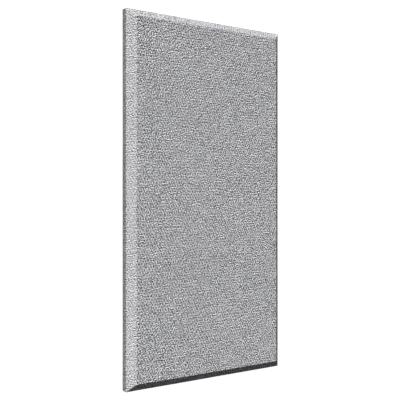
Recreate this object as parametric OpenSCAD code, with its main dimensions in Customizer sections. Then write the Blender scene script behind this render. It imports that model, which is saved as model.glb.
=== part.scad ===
// Fabric-wrapped acoustic panel with bevelled front edges.
// A rigid glass-fibre board is cut with a bevel along its four front edges. One sheet of woven fabric is
// stretched over the face, the bevels and the sides, turned over onto the back and glued there.
// The panel lies on its back: X is the width, Y the length, Z the thickness. The origin is the middle of
// the back plane.

/* [Panel] */
// Finished width, side to side
panel_w = 609.6; // [300:0.1:1220]
// Finished length, end to end
panel_l = 1219.2; // [600:0.1:2440]
// Finished thickness, from the back plane to the face
panel_t = 50.8; // [40:0.1:102]

/* [Bevel] */
// How far each front bevel reaches in from the side of the panel
bevel_run = 26; // [6:0.1:60]
// How far each front bevel drops from the face towards the back
bevel_drop = 24; // [6:0.1:34]
// Radius that the hardened edges of the board are eased to
edge_ease = 1.5; // [0.5:0.1:3]

/* [Fabric] */
// Thickness of the woven fabric
fabric_t = 0.8; // [0.4:0.1:1.6]
// Width of the fabric that is turned over onto the back
return_w = 38.1; // [20:0.1:80]
// Opening along the mitred cut at each corner of the back
mitre_gap = 1.2; // [0.5:0.1:4]
// Uncut fabric left between the mitred cut and the corner of the panel
mitre_stop = 6; // [3:0.1:12]

/* [Hidden] */

// Straight steps in each eased corner
ARC_STEPS = 4;
// How far a cutting or crossing solid runs past what it cuts
OVERRUN = 10;

// Angle of the bevel from the face, and the rest of the right angle, which is turned at the side
bevel_angle = atan2(bevel_drop, bevel_run);
side_angle = 90 - bevel_angle;

// The board is the finished panel less one thickness of fabric, measured square to every surface
board_w = panel_w - 2 * fabric_t;
board_l = panel_l - 2 * fabric_t;
board_t = panel_t - 2 * fabric_t;
board_run = bevel_run - fabric_t + fabric_t * tan(bevel_angle / 2);
board_drop = bevel_drop - fabric_t + fabric_t * tan(side_angle / 2);

// The fabric runs round the eased edges of the board at its own thickness
wrap_ease = edge_ease + fabric_t;

// The bare board that shows on the back, inside the turned-over fabric
bare_w = panel_w - 2 * return_w;
bare_l = panel_l - 2 * return_w;

function unit(v) = v / norm(v);

// Points of the arc of radius r that rounds the corner at b, on the way from a to c
function corner_arc(a, b, c, r) =
    let (
        to_a = unit(a - b),
        to_c = unit(c - b),
        half = acos(to_a * to_c) / 2,
        centre = b + unit(to_a + to_c) * r / sin(half),
        first = b + to_a * r / tan(half) - centre,
        last = b + to_c * r / tan(half) - centre,
        start = atan2(first.y, first.x),
        turn = (atan2(last.y, last.x) - start + 540) % 360 - 180
    )
    [for (i = [0 : ARC_STEPS])
        let (angle = start + turn * i / ARC_STEPS)
        centre + r * [cos(angle), sin(angle)]];

// An outline with every corner rounded to radius r
function eased(points, r) =
    let (n = len(points))
    [for (i = [0 : n - 1])
        each corner_arc(points[(i + n - 1) % n], points[i], points[(i + 1) % n], r)];

// Section through a bevelled block of width w and thickness t, standing on its back
function section(w, t, run, drop) = [
    [-w / 2, 0],
    [w / 2, 0],
    [w / 2, t - drop],
    [w / 2 - run, t],
    [run - w / 2, t],
    [-w / 2, t - drop]
];

// Plan of a block of width w and length l
function plan(w, l) = [
    [-w / 2, -l / 2],
    [w / 2, -l / 2],
    [w / 2, l / 2],
    [-w / 2, l / 2]
];

// A block with all four front edges bevelled: the sections of its width and its length cross, so the
// bevels meet in mitred hips at the corners
module bevelled_block(w, l, t, run, drop, r) {
    intersection() {
        rotate([90, 0, 0])
            linear_extrude(height = l + 2 * OVERRUN, center = true)
                polygon(eased(section(w, t, run, drop), r));
        rotate([90, 0, 90])
            linear_extrude(height = w + 2 * OVERRUN, center = true)
                polygon(eased(section(l, t, run, drop), r));
        translate([0, 0, -OVERRUN])
            linear_extrude(height = t + 2 * OVERRUN)
                polygon(eased(plan(w, l), r));
    }
}

// The board's own shape, which the fabric is wrapped round
module board_shape() {
    translate([0, 0, fabric_t])
        bevelled_block(board_w, board_l, board_t, board_run, board_drop, edge_ease);
}

// The cut that parts two neighbouring returns, along the diagonal of one back corner
module mitre_cut() {
    cut_l = (return_w - mitre_stop) * sqrt(2);
    translate([bare_w / 2, bare_l / 2, -OVERRUN])
        rotate([0, 0, 45])
            translate([-mitre_gap, -mitre_gap / 2, 0])
                cube([cut_l + mitre_gap, mitre_gap, OVERRUN + 2 * fabric_t]);
}

module glass_fibre_board() {
    color([0.80, 0.70, 0.42])
        board_shape();
}

module fabric_cover() {
    color([0.63, 0.63, 0.65])
        difference() {
            bevelled_block(panel_w, panel_l, panel_t, bevel_run, bevel_drop, wrap_ease);
            board_shape();
            translate([-bare_w / 2, -bare_l / 2, -OVERRUN])
                cube([bare_w, bare_l, OVERRUN + 2 * fabric_t]);
            for (x = [0, 1], y = [0, 1])
                mirror([x, 0, 0])
                    mirror([0, y, 0])
                        mitre_cut();
        }
}

glass_fibre_board();
fabric_cover();
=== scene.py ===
"""Looks of a fabric-wrapped acoustic panel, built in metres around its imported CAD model.

The panel lies on its back: X is its width, Y its length and Z its thickness. The board keeps its CAD shape
and gets a glass-wool material. The cloth is a mesh of its own: a closed sheet that is pulled over the face,
the bevels and the sides, lapped at the four upright corners and turned over onto the back.
"""

import math

import bpy
import numpy as np
from mathutils import Matrix, Vector


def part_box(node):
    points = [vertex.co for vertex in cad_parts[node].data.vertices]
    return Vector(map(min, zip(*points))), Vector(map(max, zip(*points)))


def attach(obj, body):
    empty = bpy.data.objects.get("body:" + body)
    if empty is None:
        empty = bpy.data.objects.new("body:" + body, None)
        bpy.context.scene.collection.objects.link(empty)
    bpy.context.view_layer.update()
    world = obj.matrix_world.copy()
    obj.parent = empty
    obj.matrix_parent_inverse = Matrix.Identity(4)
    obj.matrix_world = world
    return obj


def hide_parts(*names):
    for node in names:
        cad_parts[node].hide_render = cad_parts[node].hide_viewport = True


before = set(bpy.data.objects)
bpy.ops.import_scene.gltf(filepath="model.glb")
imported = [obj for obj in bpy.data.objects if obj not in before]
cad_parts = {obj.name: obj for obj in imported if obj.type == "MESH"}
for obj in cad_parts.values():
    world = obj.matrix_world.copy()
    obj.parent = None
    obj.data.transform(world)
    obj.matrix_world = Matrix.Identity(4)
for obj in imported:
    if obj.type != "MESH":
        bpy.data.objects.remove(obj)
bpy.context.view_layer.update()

# Sizes of the panel, as in the CAD source
HALF_WIDTH, HALF_LENGTH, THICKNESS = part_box("fabric_cover")[1]
BEVEL_RUN = 0.026
BEVEL_DROP = 0.024
RETURN = 0.0381
CLOTH = 0.0008
BEND = 0.0023
MITRE_GAP = 0.0012
MITRE_STOP = 0.006
SIDE = THICKNESS - BEVEL_DROP
SLANT = math.hypot(BEVEL_RUN, BEVEL_DROP)

# The weave repeats at this pitch, and each row is shifted by half a repeat from the one below it
REPEAT_X = 0.0095
REPEAT_Y = 0.0096
# How strong its ridges are, in the mesh's relief and in the painted shade and light that follow it: the rows
# across the width, and the diagonals that lean left and right
ROW_RIDGE = 0.195
LEFT_RIDGE = 0.34
RIGHT_RIDGE = 0.19
ALL_RIDGES = ROW_RIDGE + LEFT_RIDGE + RIGHT_RIDGE
RELIEF = 0.00022
# How far the weave wanders, in repeats, and the waves it follows: turns a metre for x and y, and phase
WANDER = 0.25
WANDER_X = [(0.8, 1.1, 0.6), (1.4, -0.9, 2.5)]
WANDER_Y = [(1.1, 0.7, 4.0), (-0.8, 1.6, 1.2)]

# The board's own unevenness under the cloth: turns across the width for x and y, and phase
SLOW_WAVES = [(1.3, 0.7, 0.4), (0.6, 1.9, 2.1), (2.7, 1.1, 4.0), (1.9, 3.3, 5.2)]
WAVE_HEIGHT = 0.0002

# Mesh of the cloth
RING_SPACING = 0.0036
BEND_STEPS = 3
CORNER_STEPS = 4
CORNER_ZONE = 0.060
FACE_MARGIN = 0.002
HIP_RADIUS = 0.0008
CLEARANCE = 0.00003
ALMOST_NOTHING = 1e-6

# The cloth is lapped over itself at each upright corner, on the short sides
LAP_REACH = 0.006
LAP_STEP = 0.0004
LAP_HEIGHT = 0.0006
LAP_FADE = 0.010

# Half of the sheet's flat width or length, less half of the panel's
WRAP = SLANT - BEVEL_RUN + SIDE + RETURN
FLAT_WIDTH = 2 * (HALF_WIDTH + WRAP)
FLAT_LENGTH = 2 * (HALF_LENGTH + WRAP)

# Share of the bake map's width that each skin takes: the outer one, where the weave shows, takes most of it
BAKE_EDGE = 0.005
OUTER_SHARE = 0.86
INNER_START = 0.88
INNER_SHARE = 0.11


def unit(vector):
    return vector / np.linalg.norm(vector)


def rounded_path(points, radius):
    """The path through points with its corners rounded: rows of place outward, height, normal and run."""
    points = [np.array(p, float) for p in points]
    rows = []
    start = points[0]
    run = 0.0
    for before, corner, after in zip(points, points[1:], points[2:] + [None]):
        way = unit(corner - before)
        normal = np.array([-way[1], way[0]])
        turn = 0.0 if after is None else math.acos(float(way @ unit(after - corner)))
        trim = radius * math.tan(turn / 2)
        end = corner - way * trim
        length = np.linalg.norm(end - start)
        steps = max(1, math.ceil(length / RING_SPACING))
        for i in range(steps):
            rows.append((*(start + (end - start) * i / steps), *normal, run + length * i / steps))
        run += length
        if after is None:
            rows.append((*end, *normal, run))
            break
        centre = end - normal * radius
        for i in range(BEND_STEPS):
            angle = turn * i / BEND_STEPS
            spoke = normal * math.cos(angle) + way * math.sin(angle)
            rows.append((*(centre + spoke * radius), *spoke, run + radius * angle))
        run += radius * turn
        start = corner + unit(after - corner) * trim
    return np.array(rows)


def side_lines(half, pitch, extra=()):
    """Fixed lines across the middle of a side, and the shares of its end zones at which lines stand."""
    count = math.floor((half - CORNER_ZONE) / pitch)
    fixed = np.arange(-count, count + 1) * pitch
    zone = half - count * pitch
    steps = math.ceil(zone / pitch)
    shares = sorted(set(np.arange(1, steps + 1) / steps) | {1 - e / zone for e in extra})
    return fixed, np.array(shares)


def place_lines(lines, reach):
    """The lines of a side that ends at reach: the middle ones stand still and the end zones stretch."""
    fixed, shares = lines
    zone = fixed[-1] + shares * (reach - fixed[-1])
    return np.concatenate([-zone[::-1], fixed, zone])


X_LINES = side_lines(HALF_WIDTH, REPEAT_X / 2, (LAP_REACH, LAP_REACH + LAP_STEP))
Y_LINES = side_lines(HALF_LENGTH, REPEAT_Y / 2)


def wander(x, y, waves):
    """How far the weave is off its place, in repeats."""
    total = sum(np.sin(2 * math.pi * (a * x + b * y) + phase) for a, b, phase in waves)
    return WANDER * total / len(waves)


def ridges(x, y):
    """Height of the weave's ridges, from -1 where all three families dip to about 0.5 on the crests."""
    across = 2 * math.pi * (x / REPEAT_X + wander(x, y, WANDER_X))
    along = 2 * math.pi * (y / REPEAT_Y + wander(x, y, WANDER_Y))
    total = ROW_RIDGE * np.cos(along)
    total += LEFT_RIDGE * np.cos(across + along / 2) + RIGHT_RIDGE * np.cos(across - along / 2)
    return -total / ALL_RIDGES


def slow_waves(x, y):
    """The unevenness of the board under the cloth, from -1 to 1."""
    waves = [np.sin(math.pi * (a * x + b * y) / HALF_WIDTH + phase) for a, b, phase in SLOW_WAVES]
    return sum(waves) / len(waves)


def corner_radius(outward, z):
    """Radius of an upright corner: small at the face, full on the sides, the mitred cut's on the back."""
    if z > SIDE:
        return HIP_RADIUS + (BEND - HIP_RADIUS) * (THICKNESS - z) / BEVEL_DROP
    share = min(1.0, -outward / MITRE_STOP) if z < BEND else 0.0
    return BEND + (MITRE_GAP / math.sqrt(2) - BEND) * share


class Ring:
    """One closed line of the cloth around the panel, at one place of its profile."""

    def __init__(self, row):
        self.outward, self.z, self.normal_out, self.normal_z, self.run = row
        radius = corner_radius(self.outward, self.z)
        reach_x = HALF_WIDTH + self.outward
        reach_y = HALF_LENGTH + self.outward
        xs = place_lines(X_LINES, reach_x - radius)
        ys = place_lines(Y_LINES, reach_y - radius)
        sides = [
            (np.full(len(ys), reach_x), ys),
            (xs[::-1], np.full(len(xs), reach_y)),
            (np.full(len(ys), -reach_x), ys[::-1]),
            (xs, np.full(len(xs), -reach_y)),
        ]
        x, y, angles = [], [], []
        # 0 and 1 are the long and the short sides; 2 and 3 the halves of a corner that belong to them
        self.kinds = []
        for quarter, (side_x, side_y) in enumerate(sides):
            angle = quarter * math.pi / 2
            x.extend(side_x)
            y.extend(side_y)
            angles.extend([angle] * len(side_x))
            self.kinds.extend([quarter % 2] * (len(side_x) - 1))
            self.kinds.extend([2 + quarter % 2] * (CORNER_STEPS // 2))
            self.kinds.extend([3 - quarter % 2] * (CORNER_STEPS // 2))
            centre_x = (reach_x - radius) * (1 if quarter in (0, 3) else -1)
            centre_y = (reach_y - radius) * (1 if quarter in (0, 1) else -1)
            for i in range(1, CORNER_STEPS):
                spoke = angle + math.pi / 2 * i / CORNER_STEPS
                x.append(centre_x + radius * math.cos(spoke))
                y.append(centre_y + radius * math.sin(spoke))
                angles.append(spoke)
        self.x, self.y = np.array(x), np.array(y)
        self.dx, self.dy = np.cos(angles), np.sin(angles)
        # Where each point lies on the flat cloth, as part of a long side's flap or of a short side's
        unrolled = self.run - BEVEL_RUN - FACE_MARGIN
        self.flat_long = (np.sign(self.x) * (HALF_WIDTH + unrolled), self.y)
        self.flat_short = (self.x, np.sign(self.y) * (HALF_LENGTH + unrolled))

    def relief(self):
        """How far the outer skin stands out of its smooth shape."""
        long_side = np.abs(self.dx) >= np.abs(self.dy)
        u = np.where(long_side, self.flat_long[0], self.flat_short[0])
        v = np.where(long_side, self.flat_long[1], self.flat_short[1])
        depth = RELIEF * ridges(u, v) + WAVE_HEIGHT * slow_waves(self.x, self.y)
        on_side = np.clip((SIDE - self.z) / LAP_FADE, 0, 1)
        on_back = np.clip(1 + self.outward / MITRE_STOP, 0, 1)
        from_corner = HALF_WIDTH + self.outward - np.abs(self.x)
        short_end = np.abs(self.y) > HALF_LENGTH - CORNER_ZONE
        lapped = short_end & (from_corner <= LAP_REACH) & (np.abs(self.dy) > ALMOST_NOTHING)
        depth += LAP_HEIGHT * on_side * on_back * lapped
        # Nothing on the back stands out of the plane that the panel rests on
        if self.normal_z < -0.5:
            depth = np.minimum(depth - RELIEF, 0)
        return depth

    def points(self, depth):
        x = self.x + depth * self.normal_out * self.dx
        y = self.y + depth * self.normal_out * self.dy
        return x, y, self.z + depth * self.normal_z

    def flat_on_back(self):
        return self.normal_z < ALMOST_NOTHING - 1

    def slit(self):
        """Whether the mitred cuts are open here."""
        return self.flat_on_back() and -self.outward > MITRE_STOP


class Cloth:
    """The vertices and faces of the cover, and where each corner of a face lies on the flat cloth."""

    def __init__(self):
        self.places = []
        self.flat_long = []
        self.flat_short = []
        self.faces = []
        self.flats = []
        self.skins = []

    def add_points(self, points, flat_long, flat_short):
        first = len(self.places)
        self.places.extend(zip(*points))
        self.flat_long.extend(zip(*flat_long))
        self.flat_short.extend(zip(*flat_short))
        return list(range(first, len(self.places)))

    def add_ring(self, ring, depth):
        return self.add_points(ring.points(depth), ring.flat_long, ring.flat_short)

    def add_face(self, corners, kind, skin):
        kept = [c for i, c in enumerate(corners) if c != corners[i - 1]]
        if len(kept) > 2:
            flat = self.flat_short if kind % 2 else self.flat_long
            self.faces.append(kept)
            self.flats.append([flat[c] for c in kept])
            self.skins.append(skin)

    def add_band(self, before, after, ring, skin):
        """The faces between two rings, which leave the corners open where the mitred cuts are."""
        for c, kind in enumerate(ring.kinds):
            if kind > 1 and ring.slit():
                continue
            n = (c + 1) % len(ring.kinds)
            corners = [before[c], after[c], after[n], before[n]]
            self.add_face(corners if skin == "outer" else corners[::-1], kind, skin)

    def add_rims(self, inner_of):
        """The cut edges of the cloth, between the outer skin and the inner one."""
        used = {}
        for corners, flats, skin in zip(self.faces, self.flats, self.skins):
            if skin == "outer":
                for i, c in enumerate(corners):
                    used[(corners[i - 1], c)] = (np.array(flats[i - 1]), np.array(flats[i]))
        for (p, q), (flat_p, flat_q) in used.items():
            if (q, p) not in used:
                way = unit(flat_q - flat_p)
                out = CLOTH * np.array([way[1], -way[0]])
                self.faces.append([q, p, inner_of[p], inner_of[q]])
                self.flats.append([flat_q, flat_p, flat_p + out, flat_q + out])
                self.skins.append("rim")


def add_face_grid(cloth):
    """The front face of the outer skin, and its outline, with each corner repeated for a ring's arc."""
    face_x = place_lines(X_LINES, HALF_WIDTH - BEVEL_RUN - FACE_MARGIN)
    face_y = place_lines(Y_LINES, HALF_LENGTH - BEVEL_RUN - FACE_MARGIN)
    x, y = (a.ravel() for a in np.meshgrid(face_x, face_y, indexing="ij"))
    z = THICKNESS + RELIEF * ridges(x, y) + WAVE_HEIGHT * slow_waves(x, y)
    grid = np.array(cloth.add_points((x, y, z), (x, y), (x, y))).reshape(len(face_x), len(face_y))
    for i in range(len(face_x) - 1):
        for j in range(len(face_y) - 1):
            cloth.add_face([grid[i, j], grid[i + 1, j], grid[i + 1, j + 1], grid[i, j + 1]], 0, "outer")
    outline = []
    for side in (grid[-1], grid[::-1, -1], grid[0, ::-1], grid[:, 0]):
        outline += [*side, *[side[-1]] * (CORNER_STEPS - 1)]
    return outline


def close_inner_face(cloth, ring):
    """A plain ladder of faces across the inner skin's opening, and one face at each end of it."""
    corner = CORNER_STEPS - 1
    across = len(X_LINES[0]) + 2 * len(X_LINES[1])
    along = len(Y_LINES[0]) + 2 * len(Y_LINES[1])
    starts = np.cumsum([0, along + corner, across + corner, along + corner])
    right = ring[:along]
    top = ring[starts[1]:][:across]
    left = ring[starts[2]:][:along][::-1]
    bottom = ring[starts[3]:][:across]
    arcs = [ring[s + n:][:corner] for s, n in zip(starts, (along, across, along, across))]
    for j in range(along - 1):
        cloth.add_face([left[j], left[j + 1], right[j + 1], right[j]], 0, "inner")
    top_end = [right[-1], left[-1], *arcs[1][::-1], *top[::-1], *arcs[0][::-1]]
    bottom_end = [left[0], right[0], *arcs[3][::-1], *bottom[::-1], *arcs[2][::-1]]
    cloth.add_face(top_end, 0, "inner")
    cloth.add_face(bottom_end, 0, "inner")


def build_cloth():
    """The cover: a dense outer skin, a plain inner skin on the board, and the rims of the cut edges."""
    outline = [
        (-BEVEL_RUN - FACE_MARGIN, THICKNESS),
        (-BEVEL_RUN, THICKNESS),
        (0.0, SIDE),
        (0.0, 0.0),
        (-RETURN, 0.0),
    ]
    rings = [Ring(row) for row in rounded_path(outline, BEND)]
    cloth = Cloth()
    outer = [add_face_grid(cloth)]
    for ring in rings[1:]:
        outer.append(cloth.add_ring(ring, ring.relief()))
        cloth.add_band(outer[-2], outer[-1], ring, "outer")

    back = next(i for i, ring in enumerate(rings) if ring.flat_on_back())
    bends = [i for i, ring in enumerate(rings) if 0 < i < back and i % 2 and ring.normal_out > 0]
    inner_of = {}
    before = None
    for i in [0, *bends, *range(back, len(rings))]:
        points = cloth.add_ring(rings[i], np.full(len(rings[i].x), CLEARANCE - CLOTH))
        if before is None:
            close_inner_face(cloth, points)
        else:
            cloth.add_band(before, points, rings[i], "inner")
        if i >= back:
            inner_of.update(zip(outer[i], points))
        before = points
    cloth.add_rims(inner_of)
    return cloth


def bake_place(flat, skin):
    """Where a point of the flat cloth lies on the bake map."""
    start, share = (INNER_START, INNER_SHARE) if skin == "inner" else (BAKE_EDGE, OUTER_SHARE)
    u = start + share * (flat[0] / FLAT_WIDTH + 0.5)
    v = BAKE_EDGE + (1 - 2 * BAKE_EDGE) * (flat[1] / FLAT_LENGTH + 0.5)
    return u, v


def cloth_object():
    cloth = build_cloth()
    # Only points that a face uses are kept: the arcs of the open mitred cuts have points that none does
    used = sorted({c for face in cloth.faces for c in face})
    number = {c: i for i, c in enumerate(used)}
    faces = [[number[c] for c in face] for face in cloth.faces]
    mesh = bpy.data.meshes.new("cloth_cover")
    mesh.from_pydata([tuple(map(float, cloth.places[c])) for c in used], [], faces)
    flats = [flat for face in cloth.flats for flat in face]
    skins = [skin for face, skin in zip(cloth.faces, cloth.skins) for corner in face]
    places = {"flat_cloth": flats, "OFBake": [bake_place(f, s) for f, s in zip(flats, skins)]}
    for name, uvs in places.items():
        layer = mesh.uv_layers.new(name=name)
        layer.uv.foreach_set("vector", np.array(uvs, np.float32).ravel())
    mesh.polygons.foreach_set("use_smooth", [skin != "rim" for skin in cloth.skins])
    made = bpy.data.objects.new("cloth_cover", mesh)
    bpy.context.scene.collection.objects.link(made)
    return made


class Shader:
    """A short way to write a material's nodes."""

    def __init__(self, name):
        self.material = bpy.data.materials.new(name)
        self.material.use_nodes = True
        self.tree = self.material.node_tree
        self.surface = self.tree.nodes["Principled BSDF"]

    def node(self, kind, values=(), **settings):
        made = self.tree.nodes.new(kind)
        for key, value in settings.items():
            setattr(made, key, value)
        for key, value in dict(values).items():
            self.put(made.inputs[key], value)
        return made

    def put(self, socket, value):
        if isinstance(value, bpy.types.NodeSocket):
            self.tree.links.new(value, socket)
        else:
            socket.default_value = value

    def math(self, operation, *values):
        made = self.node("ShaderNodeMath", operation=operation)
        for socket, value in zip(made.inputs, values):
            self.put(socket, value)
        return made.outputs[0]

    def add(self, *values):
        total = values[0]
        for value in values[1:]:
            total = self.math("ADD", total, value)
        return total

    def times(self, a, b):
        return self.math("MULTIPLY", a, b)

    def vector(self, x, y, z=0.0):
        return self.node("ShaderNodeCombineXYZ", {"X": x, "Y": y, "Z": z}).outputs[0]

    def stretched(self, place, scale):
        return self.node("ShaderNodeVectorMath", {0: place, 1: scale}, operation="MULTIPLY").outputs[0]

    def noise(self, vector, scale=1.0, detail=2.0, roughness=0.5):
        values = {"Vector": vector, "Scale": scale, "Detail": detail, "Roughness": roughness}
        return self.node("ShaderNodeTexNoise", values).outputs["Fac"]

    def random(self, vector):
        return self.node("ShaderNodeTexWhiteNoise", {"Vector": vector}).outputs["Value"]

    def cells(self, vector):
        """A random number for each cell of an irregular mosaic."""
        found = self.node("ShaderNodeTexVoronoi", {"Vector": vector, "Scale": 1.0})
        return self.node("ShaderNodeSeparateColor", {"Color": found.outputs["Color"]}).outputs[0]

    def mix(self, share, a, b):
        made = self.node("ShaderNodeMix", data_type="FLOAT")
        for index, value in ((0, share), (2, a), (3, b)):
            self.put(made.inputs[index], value)
        return made.outputs[0]

    def span(self, value, low, high, to_low, to_high):
        made = self.node("ShaderNodeMapRange")
        for socket, number in zip(made.inputs, (value, low, high, to_low, to_high)):
            self.put(socket, number)
        return made.outputs[0]

    def swing(self, noise, amount):
        """A noise, which keeps mostly between 0.3 and 0.7, as a number between -amount and amount."""
        return self.span(noise, 0.3, 0.7, -amount, amount)

    def colour(self, base, bright):
        scaled = self.node("ShaderNodeVectorMath", {0: base}, operation="SCALE")
        self.put(scaled.inputs["Scale"], bright)
        self.put(self.surface.inputs["Base Color"], scaled.outputs[0])

    def bump(self, height):
        made = self.node("ShaderNodeBump", {"Height": height, "Distance": 1.0, "Strength": 1.0})
        self.put(self.surface.inputs["Normal"], made.outputs[0])

    def matte(self, roughness, specular):
        self.surface.inputs["Roughness"].default_value = roughness
        self.surface.inputs["Specular IOR Level"].default_value = specular


# The cloth's grey, and how dark and light its spots go, as shares of that grey
CLOTH_GREY = (0.45, 0.45, 0.465)
DARKEST, LIGHTEST = 0.06, 1.5
# How far each kind of spot departs from the grey, as a share of it. The dye is uneven, fibres of other greys
# are spun into the yarns, and each float of a yarn has its own tone.
DYE, DYE_SPOTS = 1.1, 3.0
FLECK, FLECK_SIZE = 0.50, 0.0022
FLOAT, FLOAT_YARNS = 0.50, 3.0
# Yarns to a repeat, and the painted shade in the dips between them and the painted highlight on top of them
YARNS = 6.0
YARN_DIP_PAINTED_SHADE, YARN_CREST_PAINTED_HIGHLIGHT = 0.7, 1.05
# Added to the cloth's coordinates, so that none is negative
SHIFT = 400.0
# Relief that shows in the shading: slubs, which are thick spots in the yarns, the yarns and their fibres
SLUB_HEIGHT, SLUBS_PER_REPEAT = 0.0065, 2.6
YARN_HEIGHT = 0.0003
FIBRE_HEIGHT, FIBRES_PER_REPEAT = 0.00003, 30.0
# The cloth's tones are evener on the bevels of the long sides, where it is tight, and tones and slubs are
# stronger behind the front edges, where it is slack. The change from one to the other is as long as CHANGE.
BEVEL_TONES = 0.40
SLACK_TONES, SLACK_SLUBS = 1.2, 1.4
CHANGE = 0.002


def ridge_shade_nodes(s, across, along):
    """The weave's ridges, as the mesh has them, in shares of the base colour: painted shade in their dips
    and painted light on their crests.
    """
    def wave(turns, strength):
        return s.times(s.math("COSINE", s.times(turns, 2 * math.pi)), -strength)

    half = s.times(along, 0.5)
    return s.add(
        wave(along, ROW_RIDGE),
        wave(s.add(across, half), LEFT_RIDGE),
        wave(s.math("SUBTRACT", across, half), RIGHT_RIDGE))


def yarn_nodes(s, across, along):
    """A plain weave of yarns: its height, and a tone that changes from one float of a yarn to the next."""
    def crown(place):
        return s.math("SINE", s.times(place, math.pi))

    def yarn(place, crossing):
        rise = s.span(crown(s.math("FRACT", crossing)), 0.0, 1.0, 0.5, 1.0)
        return s.times(s.math("SQRT", crown(s.math("FRACT", place))), rise)

    def tone(place, crossing, layer):
        number = s.math("FLOOR", place)
        start = s.times(s.random(s.vector(number, layer)), FLOAT_YARNS)
        length = s.math("FLOOR", s.add(s.times(crossing, 1 / FLOAT_YARNS), start))
        return s.random(s.vector(number, length, layer))

    warp, weft = s.times(across, YARNS), s.times(along, YARNS)
    weft_over = s.math("MODULO", s.add(s.math("FLOOR", warp), s.math("FLOOR", weft)), 2.0)
    height = s.mix(weft_over, yarn(warp, weft), yarn(weft, warp))
    return height, s.mix(weft_over, tone(warp, weft, 1.0), tone(weft, warp, 2.0))


def cloth_material():
    """Heathered grey cloth: ridges of the weave with painted shade in their dips, yarns of mixed tones with
    painted shade between them, flecks of grey, and slubs.
    """
    s = Shader("heathered_weave")
    flat = s.node("ShaderNodeUVMap", uv_map="flat_cloth").outputs[0]
    parts = s.node("ShaderNodeSeparateXYZ", {"Vector": flat})
    x, y = parts.outputs["X"], parts.outputs["Y"]

    def place_along(own, repeat, waves):
        sines = [
            s.math("SINE", s.add(s.times(x, 2 * math.pi * a), s.times(y, 2 * math.pi * b), phase))
            for a, b, phase in waves
        ]
        drift = s.times(s.add(*sines), WANDER / len(waves))
        return s.add(s.math("MULTIPLY_ADD", own, 1 / repeat, SHIFT), drift)

    across = place_along(x, REPEAT_X, WANDER_X)
    along = place_along(y, REPEAT_Y, WANDER_Y)
    place = s.vector(across, along)

    # How far a point is past the long sides and the short sides of the panel, on the flat cloth
    past_long = s.add(s.math("ABSOLUTE", x), -HALF_WIDTH)
    past_short = s.add(s.math("ABSOLUTE", y), -HALF_LENGTH)
    bevel_end = SLANT - BEVEL_RUN
    slack = s.span(s.math("MAXIMUM", past_long, past_short), bevel_end - CHANGE, bevel_end, 0.0, 1.0)
    front_tones = s.span(past_long, -BEVEL_RUN - CHANGE, -BEVEL_RUN, 1.0, BEVEL_TONES)
    tone_strength = s.mix(slack, front_tones, SLACK_TONES)
    slub_strength = s.mix(slack, 1.0, SLACK_SLUBS)

    # The dye has one tone at each crossing of two yarns
    pitch = (1 / YARNS, 1 / YARNS, 1.0)
    crossing = s.node("ShaderNodeVectorMath", {0: place, 1: pitch}, operation="SNAP").outputs[0]
    height, float_tone = yarn_nodes(s, across, along)
    flecks = s.cells(s.stretched(place, (REPEAT_X / FLECK_SIZE, REPEAT_Y / FLECK_SIZE, 1.0)))
    # The ridges add painted shade in the weave's dips and painted light on its crests; dye, flecks and
    # floats are the cloth's own tones
    tones = s.add(
        ridge_shade_nodes(s, across, along),
        s.swing(s.noise(crossing, DYE_SPOTS, 0.0), DYE),
        s.span(flecks, 0.0, 1.0, -FLECK, FLECK),
        s.span(float_tone, 0.0, 1.0, -FLOAT, FLOAT))
    bright = s.math("MULTIPLY_ADD", tones, tone_strength, 1.0)
    # Painted shade: the grey is darkened where the yarns dip between and under each other, and lightened a
    # little on their crests as a painted highlight
    bright = s.times(bright, s.span(height, 0.0, 1.0, YARN_DIP_PAINTED_SHADE, YARN_CREST_PAINTED_HIGHLIGHT))
    s.colour(CLOTH_GREY, s.math("MINIMUM", s.math("MAXIMUM", bright, DARKEST), LIGHTEST))

    slubs = s.times(s.noise(place, SLUBS_PER_REPEAT, 0.0), slub_strength)
    s.bump(s.add(
        s.times(slubs, SLUB_HEIGHT),
        s.times(height, YARN_HEIGHT),
        s.times(s.noise(place, FIBRES_PER_REPEAT), FIBRE_HEIGHT)))
    s.matte(roughness=0.95, specular=0.15)
    return s.material


# The board's colours, the size of its patches and fibres in turns a metre, and how far their tones go
WOOL_YELLOW = (0.66, 0.50, 0.20)
PATCHES, PATCH_TONE = 24.0, 0.08
LONG_FIBRES = (90.0, 14.0, 60.0)
CROSS_FIBRES = (18.0, 110.0, 60.0)
FIBRE_TONE = 0.10
FINE_DETAIL = 6.0
FIBRE_ROUGHNESS = 0.65
WOOL_HEIGHT = 0.001


def board_material():
    """Yellow pressed glass wool, with its fibres lying flat and crossing each other."""
    s = Shader("glass_wool")
    place = s.node("ShaderNodeTexCoord").outputs["Object"]
    patches = s.noise(place, PATCHES, FINE_DETAIL)
    fibres = [
        s.noise(s.stretched(place, size), 1.0, FINE_DETAIL, FIBRE_ROUGHNESS)
        for size in (LONG_FIBRES, CROSS_FIBRES)
    ]
    tones = [s.swing(fibre, FIBRE_TONE) for fibre in fibres]
    s.colour(WOOL_YELLOW, s.add(1.0, s.swing(patches, PATCH_TONE), *tones))
    s.bump(s.times(s.add(*fibres), WOOL_HEIGHT))
    s.matte(roughness=0.9, specular=0.3)
    return s.material


# Studio: where the key light comes from, and how bright the surroundings are to the panel and the camera
KEY_FROM = Vector((-0.489, 0.700, 0.520))
KEY_STRENGTH = 6.95
KEY_ANGLE = math.radians(30)
AMBIENT = 0.03
FLOOR_BOUNCE = 0.37
FLOOR_SHOWN = 0.78
FLOOR_WHITE = 0.9
FLOOR_LIGHT = 0.9
FLOOR_LIGHT_ANGLE = math.radians(80)
FLOOR_HALF = 30.0
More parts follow.
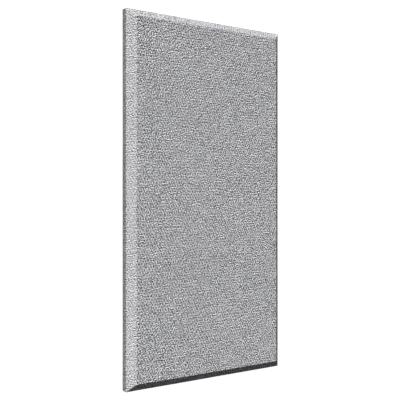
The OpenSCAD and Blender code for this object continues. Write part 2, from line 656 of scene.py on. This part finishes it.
# The flag stands close beside the panel's side, and a little higher, so that its shadow ends at the bevel
FLAG_DISTANCE = 0.0015
FLAG_OVERHANG = 0.040
FLAG_RISE = 0.00075
FLAG_PASSES = 0.48
FLAG_FOOT = 0.001


def plane(name, corners, material):
    mesh = bpy.data.meshes.new(name)
    mesh.from_pydata(corners, [], [tuple(range(len(corners)))])
    mesh.materials.append(material)
    made = bpy.data.objects.new(name, mesh)
    bpy.context.scene.collection.objects.link(made)
    return made


def seen_and_cast(tree, seen, cast):
    """A mix of two shaders: one for what the camera sees directly, and one for the light that is cast."""
    path = tree.nodes.new("ShaderNodeLightPath")
    mix = tree.nodes.new("ShaderNodeMixShader")
    tree.links.new(path.outputs["Is Camera Ray"], mix.inputs[0])
    tree.links.new(cast, mix.inputs[1])
    tree.links.new(seen, mix.inputs[2])
    return mix.outputs[0]


def make_floor():
    s = Shader("pale_floor")
    s.surface.inputs["Base Color"].default_value = (FLOOR_WHITE, FLOOR_WHITE, FLOOR_WHITE, 1.0)
    s.matte(roughness=1.0, specular=0.0)
    glow = s.node("ShaderNodeEmission", {"Strength": FLOOR_SHOWN})
    bounce = s.node("ShaderNodeEmission", {"Strength": FLOOR_BOUNCE})
    shown = s.node("ShaderNodeAddShader", {0: glow.outputs[0], 1: s.surface.outputs[0]})
    output = s.tree.nodes["Material Output"]
    s.put(output.inputs["Surface"], seen_and_cast(s.tree, shown.outputs[0], bounce.outputs[0]))
    h = FLOOR_HALF
    return plane("floor", [(-h, -h, 0), (h, -h, 0), (h, h, 0), (-h, h, 0)], s.material)


def make_flag():
    """A low net beside the long side that faces the key light. Only light rays meet it."""
    s = Shader("net")
    net = s.node("ShaderNodeBsdfTransparent", {"Color": (FLAG_PASSES, FLAG_PASSES, FLAG_PASSES, 1.0)})
    s.put(s.tree.nodes["Material Output"].inputs["Surface"], net.outputs[0])
    x = -HALF_WIDTH - FLAG_DISTANCE
    y = HALF_LENGTH + FLAG_OVERHANG
    top = SIDE + FLAG_RISE
    flag = plane("flag", [(x, -y, FLAG_FOOT), (x, y, FLAG_FOOT), (x, y, top), (x, -y, top)], s.material)
    flag.visible_camera = False
    flag.visible_diffuse = False
    flag.visible_glossy = False


def sun(name, way_in, strength, angle, lit):
    data = bpy.data.lights.new(name, "SUN")
    data.energy = strength
    data.angle = angle
    made = bpy.data.objects.new(name, data)
    made.rotation_euler = Vector(way_in).to_track_quat("Z", "Y").to_euler()
    bpy.context.scene.collection.objects.link(made)
    group = bpy.data.collections.new(name + "_lights")
    for o in lit:
        group.objects.link(o)
    made.light_linking.receiver_collection = group


def make_world():
    world = bpy.data.worlds.new("studio")
    bpy.context.scene.world = world
    world.use_nodes = True
    tree = world.node_tree
    shown = tree.nodes["Background"]
    cast = tree.nodes.new("ShaderNodeBackground")
    for background, strength in ((shown, 1.0), (cast, AMBIENT)):
        background.inputs["Color"].default_value = (1.0, 1.0, 1.0, 1.0)
        background.inputs["Strength"].default_value = strength
    output = tree.nodes["World Output"]
    tree.links.new(seen_and_cast(tree, shown.outputs[0], cast.outputs[0]), output.inputs["Surface"])


# Camera: the focal length in pixels of the 400 pixel picture, the turn to the panel's left, and its place
FOCAL_PX = 624.7
IMAGE_PX = 400.0
SENSOR = 36.0
TURN = math.radians(31.435)
CAMERA_PLACE = (-1.1366, 0.0, 1.8375)


def make_camera():
    """The photograph's view: level with the panel's middle, turned to its left side, its length upright."""
    data = bpy.data.cameras.new("camera")
    data.sensor_width = SENSOR
    data.lens = FOCAL_PX / IMAGE_PX * SENSOR
    camera = bpy.data.objects.new("camera", data)
    bpy.context.scene.collection.objects.link(camera)
    camera.location = CAMERA_PLACE
    back = Vector((-math.sin(TURN), 0.0, math.cos(TURN)))
    right = Vector((math.cos(TURN), 0.0, math.sin(TURN)))
    up = Vector((0.0, 1.0, 0.0))
    camera.rotation_euler = Matrix((right, up, back)).transposed().to_euler()
    bpy.context.scene.camera = camera


make_camera()
make_world()

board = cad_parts["glass_fibre_board"]
board.data.materials.clear()
board.data.materials.append(board_material())

cover = cloth_object()
cover.data.materials.append(cloth_material())
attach(cover, "root")
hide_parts("fabric_cover")

floor = make_floor()
make_flag()
sun("key", KEY_FROM, KEY_STRENGTH, KEY_ANGLE, [cover, board])
sun("overhead", (0, 0, 1), FLOOR_LIGHT, FLOOR_LIGHT_ANGLE, [floor])

bpy.context.scene.view_settings.view_transform = "Standard"
